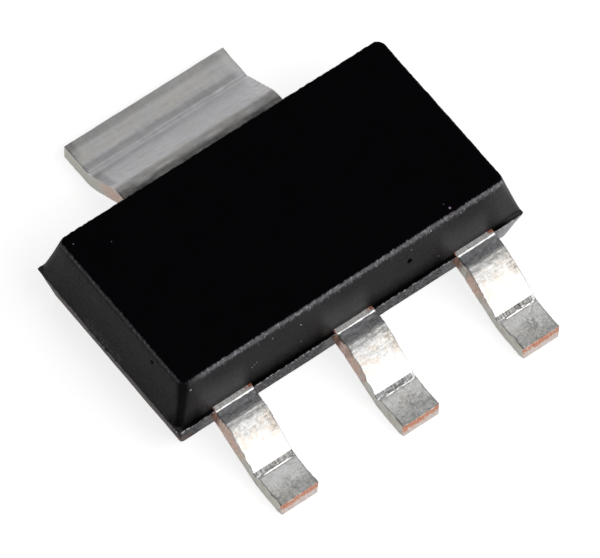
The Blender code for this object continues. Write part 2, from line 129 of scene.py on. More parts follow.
class Finish(Nodes):
    """A material of one Principled BSDF, with its place in millimetres."""

    def __init__(self, name, constants):
        self.material = bpy.data.materials.new(name)
        self.material.use_nodes = True
        super().__init__(self.material.node_tree)
        self.shader = self.tree.nodes["Principled BSDF"]
        for socket, value in constants.items():
            self.shader.inputs[socket].default_value = value
        self.place = self.node("ShaderNodeTexCoord", {}, {}, 3)
        self.place = self.vector("MULTIPLY", self.place, (1 / MM, 1 / MM, 1 / MM))
        self.x, self.y, self.z = (self.node("ShaderNodeSeparateXYZ", {}, {0: self.place}, axis)
                                  for axis in range(3))

    def vector(self, operation, first, second):
        return self.node("ShaderNodeVectorMath", {"operation": operation}, {0: first, 1: second})

    def attribute(self, name, output=2):
        return self.node("ShaderNodeAttribute", {"attribute_name": name}, {}, output)

    def noise(self, size, detail=2.0, stretch=(1.0, 1.0, 1.0), shift=0.0):
        """Noise about 0.5, with features of this size in millimetres, drawn out by a stretch."""
        scale = tuple(1.0 / (size * part) for part in stretch)
        place = self.vector("MULTIPLY", self.place, scale)
        place = self.vector("ADD", place, (shift, shift, shift))
        return self.node("ShaderNodeTexNoise", {}, {"Vector": place, "Scale": 1.0, "Detail": detail})

    def blend(self, mask, first, second):
        """The first colour where the mask is 0, the second where it is 1."""
        first, second = ((*c, 1.0) if isinstance(c, tuple) else c for c in (first, second))
        return self.node("ShaderNodeMix", {"data_type": "RGBA"}, {0: mask, 6: first, 7: second}, 2)

    def bump(self, height, distance):
        """A normal tipped by a height of 0 to 1 that stands for this distance in millimetres."""
        return self.node("ShaderNodeBump", {}, {"Distance": distance * MM, "Height": height})

    def finish(self, colour, roughness, metallic=None, normal=None):
        """Link what varies to the shader."""
        for key, value in (("Base Color", colour), ("Roughness", roughness), ("Metallic", metallic),
                           ("Normal", normal)):
            if value is not None:
                self.feed(self.shader.inputs[key], value)
        return self.material


def smooth(values, low, high):
    """0 below low, 1 above high, and 3t^2 - 2t^3 between."""
    part = np.clip((values - low) / (high - low), 0.0, 1.0)
    return part * part * (3.0 - 2.0 * part)


def wander(values, step, seed):
    """A smooth random curve from -1 to 1: random heights a step apart, joined by smoothed lines."""
    count = 4096
    heights = np.random.default_rng(seed).uniform(-1.0, 1.0, count)
    cell = np.floor(values / step).astype(int)
    part = smooth(values / step - cell, 0.0, 1.0)
    return heights[cell % count] * (1.0 - part) + heights[(cell + 1) % count] * part


def cloud(points, size, seed):
    """Smooth random heights from -1 to 1 in space: random corners of a lattice, blended in cubes."""
    count = 32
    corners = np.random.default_rng(seed).uniform(-1.0, 1.0, (count, count, count))
    cell = np.floor(points / size).astype(int)
    part = smooth(points / size - cell, 0.0, 1.0)
    total = np.zeros(len(points))
    for corner in product((0, 1), repeat=3):
        weight = np.prod(np.where(corner, part, 1.0 - part), axis=1)
        i, j, k = ((cell + corner) % count).T
        total += weight * corners[i, j, k]
    return total


def add_piece(name, points, faces, material, marks):
    """A piece from points in millimetres and faces, with each mark as an attribute of its points.

    Points nearer than WELD, as at a pole, become one.
    """
    mesh = bpy.data.meshes.new(name)
    mesh.from_pydata((points * MM).tolist(), [], faces.tolist())
    for mark, values in marks.items():
        kind, key = ("FLOAT_VECTOR", "vector") if values.ndim == 2 else ("FLOAT", "value")
        layer = mesh.attributes.new(mark, kind, "POINT")
        layer.data.foreach_set(key, values.astype(np.float32).ravel())
    shell = bmesh.new()
    shell.from_mesh(mesh)
    bmesh.ops.remove_doubles(shell, verts=shell.verts, dist=WELD * MM)
    shell.to_mesh(mesh)
    shell.free()
    mesh.shade_smooth()
    mesh.materials.append(material)
    piece = bpy.data.objects.new(name, mesh)
    bpy.context.scene.collection.objects.link(piece)
    return piece


def lattice_skin(shape):
    """The outside of a lattice of this shape: which points it has, its quads, and what lies below.

    The last array gives, for each point of the upper side, the number of the point under it.
    """
    i, j, k = np.indices(shape)
    outside = (i % (shape[0] - 1) == 0) | (j % (shape[1] - 1) == 0) | (k % (shape[2] - 1) == 0)
    number = np.cumsum(outside.ravel()).reshape(shape) - 1
    sides = [(number[0], -1), (number[-1], 1), (number[:, 0], 1), (number[:, -1], -1),
             (number[:, :, 0], -1), (number[:, :, -1], 1)]
    quads = []
    for side, turn in sides:
        ring = [side[:-1, :-1], side[1:, :-1], side[1:, 1:], side[:-1, 1:]]
        quads.append(np.stack([corner.ravel() for corner in ring[::turn]], axis=1))
    below = np.full(number.max() + 1, -1)
    below[number[:, :, -1]] = number[:, :, 0]
    return outside, np.concatenate(quads), below


def from_line(places, centre, half_line):
    """The step to each place from the nearest point of a slot's middle line, which runs along X."""
    flat = places[:, :2] - centre
    flat[:, 0] -= np.clip(flat[:, 0], -half_line, half_line)
    return flat


def pierce(points, quads, below, slots):
    """Cut slots with round ends through the flat strip, for the moulding to fill.

    A slot holds each point nearer to its middle line than its radius. The quads inside it go, the
    points round the gap move onto its outline, and a wall joins the upper rim to the lower one.
    Gives the numbers of the points that are left, and the quads in those points' new numbers.
    """
    for centre, half_line, radius in slots:
        middle = points[quads].mean(axis=1)
        gone = np.linalg.norm(from_line(middle, centre, half_line), axis=1) < radius
        upper = quads[gone & (middle[:, 2] > 0)]
        edges = np.stack([upper, np.roll(upper, -1, axis=1)], axis=2).reshape(-1, 2)
        forth, back = edges @ (len(points), 1), edges @ (1, len(points))
        rim = edges[~np.isin(forth, back)]
        away = from_line(points[rim[:, 0]], centre, half_line)
        away *= radius / np.linalg.norm(away, axis=1)[:, None] - 1.0
        points[rim[:, 0], :2] += away
        points[below[rim[:, 0]], :2] = points[rim[:, 0], :2]
        wall = np.stack([rim[:, 0], rim[:, 1], below[rim[:, 1]], below[rim[:, 0]]], axis=1)
        quads = np.concatenate([quads[~gone], wall])
    used, quads_left = np.unique(quads, return_inverse=True)
    return used, quads_left.reshape(quads.shape)


def form(points, side, start):
    """Bend the flat strip from start on: round the knee, down the slope, back round the ankle.

    On an arc a point turns about the arc's centre by the run over the arc's radius.
    """
    run = side * points[:, 1] - start
    high = points[:, 2]
    turn = np.clip(run / ARC, 0.0, BEND)
    down = np.clip(run - ARC * BEND, 0.0, SLOPE)
    reach = (ARC + high) * np.sin(turn) + down * math.cos(BEND)
    height = (ARC + high) * np.cos(turn) - ARC - down * math.sin(BEND)
    back = np.clip(run / ARC - BEND - SLOPE / ARC, 0.0, BEND)
    middle_reach = 2 * ARC * math.sin(BEND) + SLOPE * math.cos(BEND)
    middle_height = 2 * ARC * math.cos(BEND) - ARC - SLOPE * math.sin(BEND)
    reach = np.where(back > 0, middle_reach - (ARC - high) * np.sin(BEND - back), reach)
    height = np.where(back > 0, middle_height - (ARC - high) * np.cos(BEND - back), height)
    reach += np.clip(run - FORMED, 0.0, None) + np.minimum(run, 0.0)
    formed = points.copy()
    formed[:, 1] = np.where(run > 0, side * (start + reach), points[:, 1])
    formed[:, 2] = np.where(run > 0, height, high)
    return formed


def lead_edges(run, high, seed):
    """Left and right edge of a lead by run from the body: curves through measured widths.

    The sheared sides lean, so the edges of the top and of the sole differ.
    """
    level = high / STRIP_THICK + 0.5
    left_top = np.interp(run, [0.0, 0.3, 0.7, 1.15, 1.35, 1.9], [0.345, 0.345, 0.357, 0.370, 0.345, 0.345])
    left_sole = np.interp(run, [0.0, 0.4, 1.2, 1.5, 1.8, 1.9], [0.340, 0.380, 0.335, 0.345, 0.345, 0.325])
    right_top = np.interp(run, [0.0, 0.3, 0.8, 1.2, 1.4, 1.9], [0.390, 0.375, 0.370, 0.365, 0.355, 0.350])
    right_sole = np.interp(run, [0.0, 0.4, 1.2, 1.9], [0.365, 0.370, 0.345, 0.335])
    chips = 0.011 * wander(run, 0.11, seed) + 0.006 * wander(run, 0.035, seed + 1)
    left = -(left_sole + level * (left_top - left_sole) + chips * level)
    chips = 0.006 * wander(run, 0.14, seed + 2) + 0.003 * wander(run, 0.035, seed + 3)
    right = right_sole + level * (right_top - right_sole) + chips * level
    return left, right


def spread(count):
    """Places from -1 to 1, closer together towards the two ends: part even steps, part their sine."""
    even = np.linspace(-1.0, 1.0, count)
    return 0.45 * even + 0.55 * np.sin(even * math.pi / 2)


def stations(stops):
    """Places along the strip: each (place, step) runs to the next place by its step."""
    runs = [np.arange(a, b - step / 2, step) for (a, step), (b, _) in zip(stops, stops[1:])]
    return np.concatenate(runs + [[stops[-1][0]]])


def strip(along, edges, columns, centre, seed):
    """A strip's skin while it is flat, with rolled top edges and crisp lower ones.

    A point near an edge moves onto a round of the edge's radius about the nearest inner point.
    Gives the points, the quads, the point under each upper point, and 1 on the cut sides and ends,
    which falls to 0 at the faces.
    """
    shape = (columns, len(along), STRIP_LEVELS)
    outside, quads, below = lattice_skin(shape)
    across, place, through = np.meshgrid(spread(columns), along, spread(STRIP_LEVELS), indexing="ij")
    across, place, through = across[outside], place[outside], through[outside]
    half = STRIP_THICK / 2
    high = through * half
    left, right = edges(place, high)
    side = (left + right) / 2 + across * (right - left) / 2
    radius = 0.009 + 0.006 * smooth(through, -0.2, 0.2)
    end = np.minimum(place - along[0], along[-1] - place)
    radius *= 0.12 + 0.88 * smooth(end, 0.004, 0.05)
    inner = np.stack([np.clip(side, left + radius, right - radius),
                      np.clip(place, along[0] + radius, along[-1] - radius),
                      np.clip(high, -half + radius, half - radius)], axis=1)
    offset = np.stack([side, place, high], axis=1) - inner
    offset *= (radius / np.linalg.norm(offset, axis=1))[:, None]
    points = inner + offset
    points += np.array([centre, 0.0, 0.0])
    rough = 0.0025 * cloud(points, 0.05, seed) + 0.004 * cloud(points, 0.21, seed + 5)
    points += offset / radius[:, None] * rough[:, None]
    torn = smooth(through, -0.3, 0.9) * (1.0 - smooth(end, 0.0, 0.06)) * (place < 0)
    points[:, 1] += torn * (0.005 + 0.007 * wander(side + 9.0, 0.05, seed + 9))
    cut = 1.0 - smooth(np.abs(through), 0.86, 1.0)
    return points, quads, below, cut


def tool_marks(points, run, across):
    """Mark the strip's top where the mould clamped it and where the forming tool pressed it.

    The clamp mark rises to the wall and ends in a step. The knee drops by a little shoulder, which
    the slope makes up for. The ankle rises to a step on the foot, in comb lines, and a thin burr
    curls over it.
    """
    top = smooth(points[:, 2], 0.0, 0.12) * smooth(run, -0.06, -0.03)
    on_lead = points[:, 1] < 0
    clamped = 0.012 * smooth(-run, -0.100, -0.070) + 0.010 * smooth(-run, -0.07, 0.03)
    shoulder = 0.012 * (smooth(run, 0.40, 0.95) - smooth(run, 0.312, 0.372)) * on_lead
    middle = smooth(across, -0.31, -0.17) * smooth(-across, -0.35, -0.24) * on_lead
    comb = 0.95 + 0.10 * wander(across + 9.0, 0.034, 71)
    pinched = 0.0085 * smooth(run, 1.12, 1.27) * smooth(-run, -1.328, -1.282) * middle * comb
    curl = across - 0.345 + 2.7 * (run - 1.13) ** 2
    burr = 0.006 * np.exp(-(curl / 0.024) ** 2) * smooth(run, 1.12, 1.20) * smooth(-run, -1.42, -1.39)
    burr *= on_lead * (points[:, 0] > -1.2)
    points[:, 2] += top * (clamped + shoulder + pinched + burr)


def lead_frame_piece(name, along, edges, columns, centre, seed, bends, slots):
    """Make one strip, pierce it, form its ends, and put it in place of its solid."""
    points, quads, below, cut = strip(along, edges, columns, centre, seed)
    used, quads = pierce(points, quads, below, slots)
    points, cut = points[used], cut[used]
    run = np.abs(points[:, 1]) - BODY_SIDE
    marks = np.stack([points[:, 0] - centre, np.where(points[:, 1] < 0, run, -9.0),
                      np.where(points[:, 1] > 0, run, -9.0)], axis=1)
    tool_marks(points, run, points[:, 0] - centre)
    for side, start in bends:
        points = form(points, side, start)
    points[:, 2] += STRIP_TOP - STRIP_THICK / 2
    points[:, 2] = np.maximum(points[:, 2], 0.0)
    piece = add_piece(name + "_plated", points, quads, PLATED, {"strip": marks, "cut": cut})
    piece.data.set_sharp_from_angle(angle=math.radians(55.0))
    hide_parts(name)
    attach(piece, "root")


def tinned_copper():
    """Matt tin with tool marks, stains, painted shade and highlight, and the bare copper of the sheared
    faces.
    """
    tin = Finish("tinned_copper_finish", {"IOR": 1.5})
    strip_place = tin.attribute("strip", 1)
    across, lead_run, tab_run = (tin.node("ShaderNodeSeparateXYZ", {}, {0: strip_place}, axis)
                                 for axis in range(3))
    cut = tin.attribute("cut")
    on_lead = lead_run.rise(-1.0, -0.5)
    on_tab = tab_run.rise(-1.0, -0.5)
    fine = tin.noise(0.022, 3.0)
    speckle = tin.noise(0.045, 2.0, shift=21.0)
    blotch = tin.noise(0.15, 3.0, shift=3.0)
    broad = tin.noise(0.40, 2.0, shift=8.0)
    drawn = tin.noise(0.022, 1.0, (1.0, 12.0, 12.0), shift=5.0)
    crossed = tin.noise(0.020, 2.0, (9.0, 1.0, 1.0), shift=2.0)
    level = 0.74 + (blotch - 0.5) * 0.22 + (fine - 0.5) * 0.16

    # Brightness of the leads, from the clamp mark at the wall to the foot, with painted shade in places.
    clamp = lead_run.fall(0.062, 0.072) * on_lead
    # Painted shade: a darker band across the flat lead near the body, darker further out.
    band_end = lead_run + (blotch - 0.5) * 0.05
    band = band_end.fall(0.306, 0.332) * lead_run.rise(0.090, 0.102) * on_lead
    darker = (lead_run + (drawn - 0.5) * 0.03 + (blotch - 0.5) * 0.06).rise(0.08, 0.27)
    level = level - band * (level - 0.66 - (speckle - 0.5) * 0.45 - (drawn - 0.5) * 0.25 + darker * 0.31)
    grainy = (crossed - 0.5) * 0.30 + (speckle - 0.5) * 0.35 + (fine - 0.5) * 0.45
    upper = lead_run.rise(0.325, 0.335) * on_lead
    stretched = upper * (lead_run + (broad - 0.5) * 0.5 - across * 0.15).fall(0.50, 0.72)
    lower = upper * (lead_run + (blotch - 0.5) * 0.5).fall(0.80, 1.05)
    level = level - stretched * 0.13 - lower * (0.14 + grainy * (0.6 + stretched * 0.5))
    # Painted shade along the right edge of the upper slope; the tints below also give it a tan cast.
    right_edge_shade_and_tan = across.rise(0.20, 0.30) * lead_run.band(0.44, 0.68, 0.08)
    level = level - right_edge_shade_and_tan * (0.10 + (speckle - 0.5) * 0.3)
    # Painted shade on the ankle bend, which would otherwise mirror the front lamp; mottled, and lighter
    # towards the foot.
    ankle = lead_run.rise(1.107, 1.120) * (lead_run + (drawn - 0.5) * 0.20).fall(1.205, 1.275) * on_lead
    ankle_shade_depth = 0.56 - lead_run.rise(1.17, 1.23) * 0.30
    level = level - ankle * (ankle_shade_depth - (drawn - 0.5) * 0.50 - (speckle - 0.5) * 0.20)
    foot = lead_run.rise(1.330, 1.345) * on_lead
    ground = tin.x.fall(-1.4, -1.0)
    near_middle = (across - 0.04).band(-0.06, 0.06, 0.18) * lead_run.band(1.54, 1.64, 0.14)
    near_middle = near_middle * (1.0 - ground * 0.6)
    smudge = (blotch * 0.75 + speckle * 0.25 + near_middle * 0.10).rise(0.50, 0.64)
    slant = lead_run.fall(1.40, 1.66) * 0.19 - lead_run.rise(1.60, 1.78) * 0.15
    slant = slant - lead_run.rise(1.79, 1.85) * 0.03
    slant = slant + ground * lead_run.band(1.42, 1.62, 0.08) * 0.07
    mottle = (speckle - 0.5) * (0.65 + near_middle * 0.9) + (drawn - 0.5) * 0.3 + (fine - 0.5) * 0.5
    level = level + foot * (0.07 + slant - smudge * (0.09 + near_middle * 0.12) + mottle)
    edge = (across * across + (speckle - 0.5) * 0.016).rise(0.100, 0.120)
    level = level - edge * on_lead * lead_run.rise(1.34, 1.40) * (0.30 + (fine - 0.5) * 0.6)

    # Brightness of the tab, from its root to its far end, with painted shade and light in places.
    streaks = tin.noise(0.065, 1.0, (8.0, 1.0, 1.0), shift=9.0)
    upright = tin.noise(0.080, 1.0, (1.0, 5.0, 5.0), shift=1.0)
    shade_wobble = tin.noise(0.22, 3.0, (1.6, 1.0, 1.0), shift=13.0)
    on_ankle = tab_run.band(1.12, 1.28, 0.06)
    level = level + on_tab * ((streaks - 0.5) * 0.22 + (speckle - 0.5) * 0.08)
    level = level + on_tab * (upright - 0.5) * (0.08 + on_ankle * 0.16)
    far = (tab_run + (streaks - 0.5) * 0.10).rise(1.69, 1.79)
    crease = (tab_run + (blotch - 0.5) * 0.05).band(1.35, 1.39, 0.085) * across.fall(1.30, 1.50)
    upper_crease = tab_run.band(1.00, 1.04, 0.07) * across.fall(-0.9, 1.2)
    # Painted shadow of the body on the tab's root, with a ragged border.
    root = (tab_run + (shade_wobble - 0.5) * (0.14 - across * 0.04)).fall(0.27, 0.38) * on_tab
    # Painted shade on the tab's rounded left border; the right border is made a little lighter.
    left_border = (across + (shade_wobble - 0.5) * 0.10).fall(-1.44, -1.34)
    left_border = left_border * (tab_run.band(0.60, 0.98, 0.14) * 0.21 + tab_run.rise(1.50, 1.64) * 0.15)
    right_border = across.rise(1.30, 1.46) * tab_run.rise(1.12, 1.34) * 0.10
    level = level - on_tab * (far * (0.21 - across * 0.03) + crease * 0.22 + upper_crease * 0.11)
    level = level - on_tab * (root * (0.62 + (shade_wobble - 0.5) * 0.4) + left_border - right_border)
    # Painted light on the tab's ankle arc, and the tab a little lighter overall, more so before the ankle.
    level = level + on_tab * (on_ankle * 0.15 + tab_run.fall(1.00, 1.30) * 0.03 + 0.05)

    # Tints of the tin, and the film that the mould's clamp left.
    stain = on_lead * (blotch * 0.7 + speckle * 0.3).rise(0.44, 0.60) * lead_run.band(0.48, 0.88, 0.12)
    tint = tin.blend(broad.rise(0.40, 0.60), (0.99, 0.985, 0.98), (1.0, 0.98, 0.945))
    tint = tin.blend(stain * 0.8 + right_edge_shade_and_tan * 0.5, tint, (0.98, 0.89, 0.79))
    tint = tin.blend(foot, tint, tin.blend(broad.rise(0.4, 0.6), (1.0, 0.985, 0.945), (0.98, 0.98, 0.965)))
    cool = on_tab * tab_run.band(0.48, 1.42, 0.1) * (blotch * 0.8 + 0.4)
    tint = tin.blend(band + cool, tint, (0.97, 0.965, 1.0))
    grey = tin.node("ShaderNodeCombineColor", {}, {0: level, 1: level, 2: level})
    plated = tin.node("ShaderNodeMix", {"data_type": "RGBA", "blend_type": "MULTIPLY"},
                      {0: 1.0, 6: grey, 7: tint}, 2)
    comb = drawn.rise(0.46, 0.62)
    film = tin.blend(comb * 0.6 + speckle.rise(0.55, 0.8) * 0.3, (0.66, 0.645, 0.63), (0.30, 0.28, 0.275))
    bare = (across + (speckle - 0.5) * 0.30).rise(0.27, 0.33)
    bare = bare + (across + (speckle - 0.5) * 0.12).fall(-0.345, -0.31)
    film = tin.blend(bare * lead_run.fall(0.03, 0.06), film, (0.36, 0.12, 0.07))
    plated = tin.blend(clamp, plated, film)

    # Sheared sides, torn toes, the burr at the ankle with a painted highlight, and the bare strip inside the
    # body.
    pink = (lead_run + (blotch - 0.5) * 0.7).fall(0.72, 0.88) * on_lead
    pink = pink * (1.0 - lead_run.band(0.17, 0.34, 0.06) * tin.x.rise(1.0, 1.4) * 0.8)
    bright_copper = tin.blend(speckle.rise(0.4, 0.65), (0.82, 0.64, 0.56), (0.68, 0.49, 0.40))
    sheared = tin.blend(fine.rise(0.35, 0.65), (0.63, 0.62, 0.57), (0.75, 0.74, 0.68))
    sheared = tin.blend(blotch.rise(0.48, 0.62) * on_lead * 0.5, sheared, (0.53, 0.47, 0.39))
    sheared = tin.blend(pink, sheared, bright_copper)
    faint_pink = tin.blend(speckle.rise(0.4, 0.65), (0.80, 0.66, 0.59), (0.76, 0.56, 0.47))
    sheared = tin.blend((tab_run + (blotch - 0.5) * 0.6).fall(0.55, 1.05) * on_tab, sheared, faint_pink)
    burnt = (lead_run + (speckle - 0.5) * 0.25).fall(0.10, 0.20) * on_lead
    sheared = tin.blend(burnt * 0.8, sheared, (0.42, 0.20, 0.13))
    toe = lead_run.rise(1.860, 1.875)
    torn = (tin.z + (blotch - 0.5) * 0.16 + (speckle - 0.5) * 0.14).rise(0.140, 0.165)
    copper = tin.blend(fine.rise(0.4, 0.6), (0.60, 0.23, 0.13), (0.86, 0.47, 0.33))
    copper = tin.blend(speckle.rise(0.62, 0.72), copper, (0.90, 0.82, 0.76))
    tin_below = tin.blend(speckle.rise(0.4, 0.6), (0.84, 0.77, 0.74), (0.75, 0.62, 0.57))
    copper = tin.blend(tin.z.rise(0.262, 0.285) * speckle.rise(0.50, 0.60), copper, (0.96, 0.93, 0.90))
    sheared = tin.blend(toe, sheared, tin.blend(torn, tin_below, copper))
    colour = tin.blend(cut.rise(0.25, 0.6), plated, sheared)
    # The burr is painted white and not metallic: a painted highlight for the front lamp's glint on it.
    curl = across + (lead_run - 1.13) * (lead_run - 1.13) * 2.7
    burr = curl.band(0.320, 0.360, 0.012) * lead_run.band(1.13, 1.41, 0.02) * tin.x.rise(-1.2, -1.0)
    burr = burr * (1.0 - cut)
    colour = tin.blend(burr, colour, (1.0, 1.0, 0.98))
    covered = lead_run.fall(-0.08, -0.05) * tab_run.fall(-0.08, -0.05)
    colour = tin.blend(covered, colour, tin.blend(drawn, (0.78, 0.42, 0.28), (0.90, 0.55, 0.40)))
    metallic = 1.0 - clamp * 0.75 - burr
    roughness = 0.33 + (blotch - 0.5) * 0.20 + cut * 0.15 + clamp * 0.25 + lower * 0.06 + on_tab * 0.08
    grain = tin.bump(fine * 0.45 + blotch * 0.7 + crossed * lower * 0.5, 0.005)
    return tin.finish(colour, roughness, metallic, grain)


LEAD_END = LEAD_BEND + FORMED + LEAD_SOLE
TAB_END = TAB_BEND + FORMED + TAB_SOLE
POST_EDGES = (1.90, 2.93)
POST_ENDS = (1.38, 0.43)
LEAD_COLUMNS = 46
TAB_COLUMNS = 96
PLATED = tinned_copper()
# Where the neck, the die pad and the tab start along Y, and half the width of each.
TAB_PARTS = ((-1.38, 0.30), (-0.75, 1.65), (1.10, 1.525))
# A hole or slot: its centre, half the length of its middle line, and its radius.
POST_HOLE = ((2.71, -0.65), 0.0, 0.11)
TAB_SLOT = ((0.85, 1.34), 0.18, 0.12)


def side_lead_edges(sign, seed):
    """Edges of a side lead about its centre, with the wider bond post at its inner end."""
    post_near, post_far = (sign * edge - sign * LEAD_PITCH for edge in POST_EDGES)

    def edges(place, high):
        left, right = lead_edges(-place - BODY_SIDE, high, seed)
        inside = smooth(place, -POST_ENDS[0] - 0.02, -POST_ENDS[0])
        low, top = min(post_near, post_far), max(post_near, post_far)
        return left + inside * (low - left), right + inside * (top - right)
    return edges


def tab_edges(place, high):
    """Edges of the tab piece, from the middle lead to the tab: each part's half width by place."""
    left, right = lead_edges(-place - BODY_SIDE, high, 31)
    chips = 0.003 * wander(place, 0.20, 41) * (place > BODY_SIDE)
    for start, half in TAB_PARTS:
        inside = smooth(place, start - 0.02, start)
        left = left + inside * (-half + chips - left)
        right = right + inside * (half + chips - right)
    return left, right


lead_along = stations([(-LEAD_END, 0.005), (-LEAD_END + 0.03, 0.012), (-BODY_SIDE + 0.04, 0.05),
                       (-POST_ENDS[0] - 0.02, 0.02), (-POST_ENDS[0], 0.08), (-0.82, 0.018),
                       (-0.50, 0.035), (-POST_ENDS[1], 0.0)])
(hole_x, hole_y), half_line, hole_radius = POST_HOLE
for name, sign, seed in (("ground_lead", -1, 3), ("input_lead", 1, 17)):
    lead_frame_piece(name, lead_along, side_lead_edges(sign, seed), LEAD_COLUMNS, sign * LEAD_PITCH,
                     seed, [(-1, LEAD_BEND)], [((sign * hole_x, hole_y), half_line, hole_radius)])
tab_along = stations([(-LEAD_END, 0.005), (-LEAD_END + 0.03, 0.012), (-BODY_SIDE + 0.04, 0.05),
                      (-1.40, 0.02), (-1.38, 0.1), (-0.77, 0.02), (-0.75, 0.1), (1.08, 0.02), (1.10, 0.04),
                      (1.18, 0.018), (1.50, 0.05), (BODY_SIDE - 0.06, 0.014), (TAB_END - 0.03, 0.005),
                      (TAB_END, 0.0)])
(slot_x, slot_y), half_line, slot_radius = TAB_SLOT
lead_frame_piece("heat_tab_frame", tab_along, tab_edges, TAB_COLUMNS, 0.0, 57,
                 [(-1, LEAD_BEND), (1, TAB_BEND)],
                 [((side * slot_x, slot_y), half_line, slot_radius) for side in (-1, 1)])

# Die-attach solder, silicon die and bond wires inside the body.
# The die is soldered to the pad, and fine copper wires run from it to the two posts and the neck.
# The solids keep their form and get the finish of each material.


def solder_finish():
    """Solder that froze with a slightly rippled, satin skin."""
    solder = Finish("solder_finish", {"Metallic": 1.0})
    ripple = solder.noise(0.10, 3.0)
    colour = solder.blend(ripple, (0.42, 0.42, 0.43), (0.62, 0.61, 0.60))
    return solder.finish(colour, 0.35 + ripple * 0.25, None, solder.bump(ripple, 0.01))


def silicon_finish():
    """A polished chip whose top carries a fine grid of metal fields."""
    chip = Finish("silicon_finish", {"Metallic": 0.6})
    cells = chip.node("ShaderNodeTexBrick", {}, {"Vector": chip.place, "Scale": 1.4, "Mortar Size": 0.03,
                                                 "Color1": (0.30, 0.30, 0.34, 1.0),
                                                 "Color2": (0.22, 0.24, 0.30, 1.0),
                                                 "Mortar": (0.08, 0.08, 0.11, 1.0)})
    top = chip.z.rise(1.08, 1.09)
    sawn = chip.noise(0.02, 1.0, (1.0, 1.0, 6.0))
    side = chip.blend(sawn, (0.10, 0.10, 0.12), (0.20, 0.20, 0.23))
    return chip.finish(chip.blend(top, side, cells), 0.42 - top * 0.24)


def wire_finish():
    """Drawn copper wire with faint lengthwise marks."""
    wire = Finish("bond_wire_finish", {"Metallic": 1.0})
    drawn = wire.noise(0.012, 2.0)
    colour = wire.blend(drawn, (0.66, 0.36, 0.22), (0.86, 0.52, 0.36))
    return wire.finish(colour, 0.22 + drawn * 0.15)


inner_finishes = {"die_solder": solder_finish(), "silicon_die": silicon_finish()}
copper_wire = wire_finish()
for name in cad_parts:
    if name.endswith(("_wire", "_wire_1", "_wire_2")):
        inner_finishes[name] = copper_wire
for name, finish in inner_finishes.items():
    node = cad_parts[name]
    node.data.materials.clear()
    node.data.materials.append(finish)

# Moulded body.
# Black filled epoxy, pressed round the lead frame in two mould halves that meet at the strip's top.
# The lower half stands a little proud, and the gate broke off rough at the -X end.
HALF_LENGTH = 3.25
HALF_WIDTH = 1.78
TOP = 1.62
BOTTOM = 0.06
UPPER_DRAFT = math.radians(12.5)
LOWER_DRAFT = math.radians(14.5)
GROWTH = 0.035
SHIFT = 0.025
UPPER_CORNER = 0.15
LOWER_CORNER = 0.05
UPPER_ROUND = 0.06
LOWER_ROUND = 0.03
RIM_INSET = 0.189
EJECTOR_SPOTS = (-1.7, 1.7)
EJECTOR_DEPTH = 0.03
CORNER_POINTS = 11
SIDE_POINTS = (240, 132, 240, 132)


def ring(half_length, half_width, radius, shift, height, last_radius=None):
    """Points round a rectangle: each corner a quarter circle, each side evenly spaced between.

    The last corner, at +X and -Y, may have its own radius.
    """
    quarter = np.linspace(0.0, math.pi / 2, CORNER_POINTS)
    parts = []
    for corner, (sx, sy) in enumerate([(1, 1), (-1, 1), (-1, -1), (1, -1)]):
        radius = last_radius if last_radius is not None and corner == 3 else radius
        centre = np.array([sx * (half_length - radius), sy * (half_width - radius)])
        turn = quarter + corner * math.pi / 2
        arc = centre + radius * np.stack([np.cos(turn), np.sin(turn)], axis=1)
        parts.append(arc)
    points = []
    for corner, count in enumerate(SIDE_POINTS):
        start, end = parts[corner][-1], parts[(corner + 1) % 4][0]
        share = np.linspace(0.0, 1.0, count + 2)[1:-1, None]
        points += [parts[corner], start + share * (end - start)]
    flat = np.concatenate(points) - shift
    return np.column_stack([flat, np.full(len(flat), height)])


def fillet(radius, draft, steps):
    """Inset and depth along a round edge between a flat face and a drafted side.

    From the corner that the two would make, the inset is the round's reach less the radius times
    the sine of the turn. The depth is the radius times one less the cosine.
    """
    turn = np.linspace(0.0, math.pi / 2 - draft, steps)
    reach = radius * math.tan((math.pi / 2 - draft) / 2)
    return reach - radius * np.sin(turn), radius * (1.0 - np.cos(turn))


